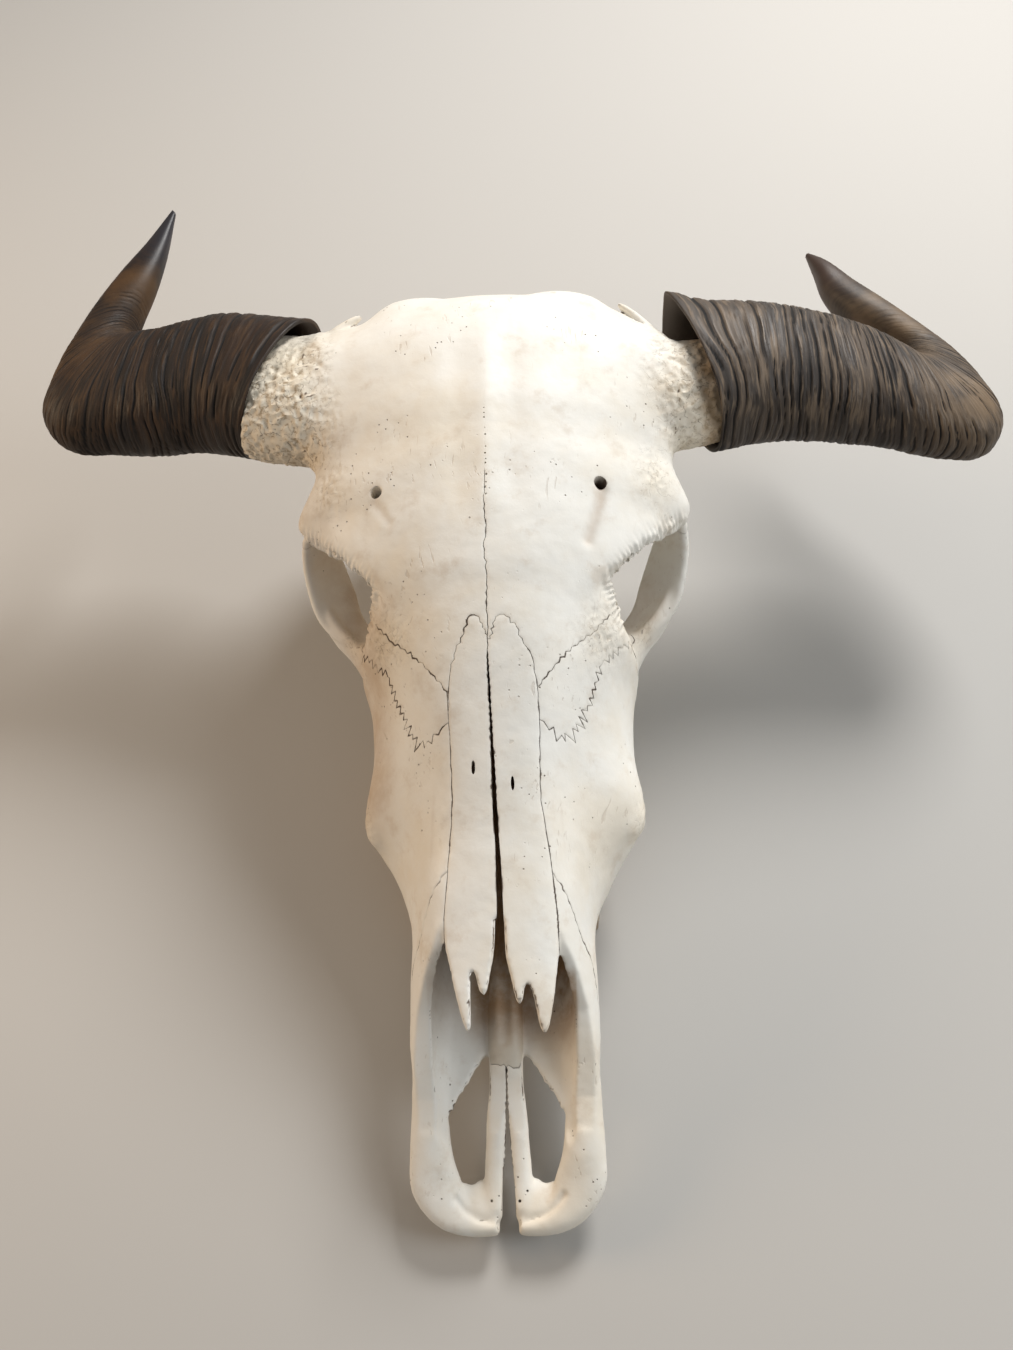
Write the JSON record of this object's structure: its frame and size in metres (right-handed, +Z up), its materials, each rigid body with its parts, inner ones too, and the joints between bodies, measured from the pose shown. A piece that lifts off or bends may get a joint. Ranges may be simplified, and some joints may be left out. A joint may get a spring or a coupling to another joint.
{
  "type": "water buffalo skull",
  "caption": "Dry skull of a water buffalo without its lower jaw: broad forehead, ringed eye sockets, open muzzle, upper cheek teeth, and ridged dark horns that sweep out and back.",
  "frame": {"origin": "on the floor under the middle of the outer box, horns included", "axes": "+Z up, +Y from the muzzle back to the poll, +X to the animal's left; the skull lies on its cheek teeth and the processes beside its neck joint"},
  "size_m": [0.5888, 0.6182, 0.2079],
  "materials": {
    "bone": "matt cream-white dry bone, fine pores, tan in the hollows",
    "core_bone": "matt, rough and pitted yellow-grey bone",
    "nose_bone": "matt grey-brown spotted bone",
    "horn": "near-black brown horn, satin, wavy ridges across it and a smoother tip"
  },
  "bodies": {
    "root": {"frontal_left": "bone", "frontal_right": "bone", "horn_core_left": "core_bone", "horn_core_right": "core_bone", "lacrimal_left": "bone", "lacrimal_right": "bone", "maxilla_left": "bone", "maxilla_right": "bone", "nasal_left": "bone", "nasal_right": "bone", "premaxilla_left": "bone", "premaxilla_right": "bone", "temporal_left": "bone", "temporal_right": "bone", "zygomatic_left": "bone", "zygomatic_right": "bone", "occipital": "bone", "sphenoid": "bone", "vomer": "nose_bone", "horn_sheath_left": "horn", "horn_sheath_right": "horn"}
  },
  "joints": []
}
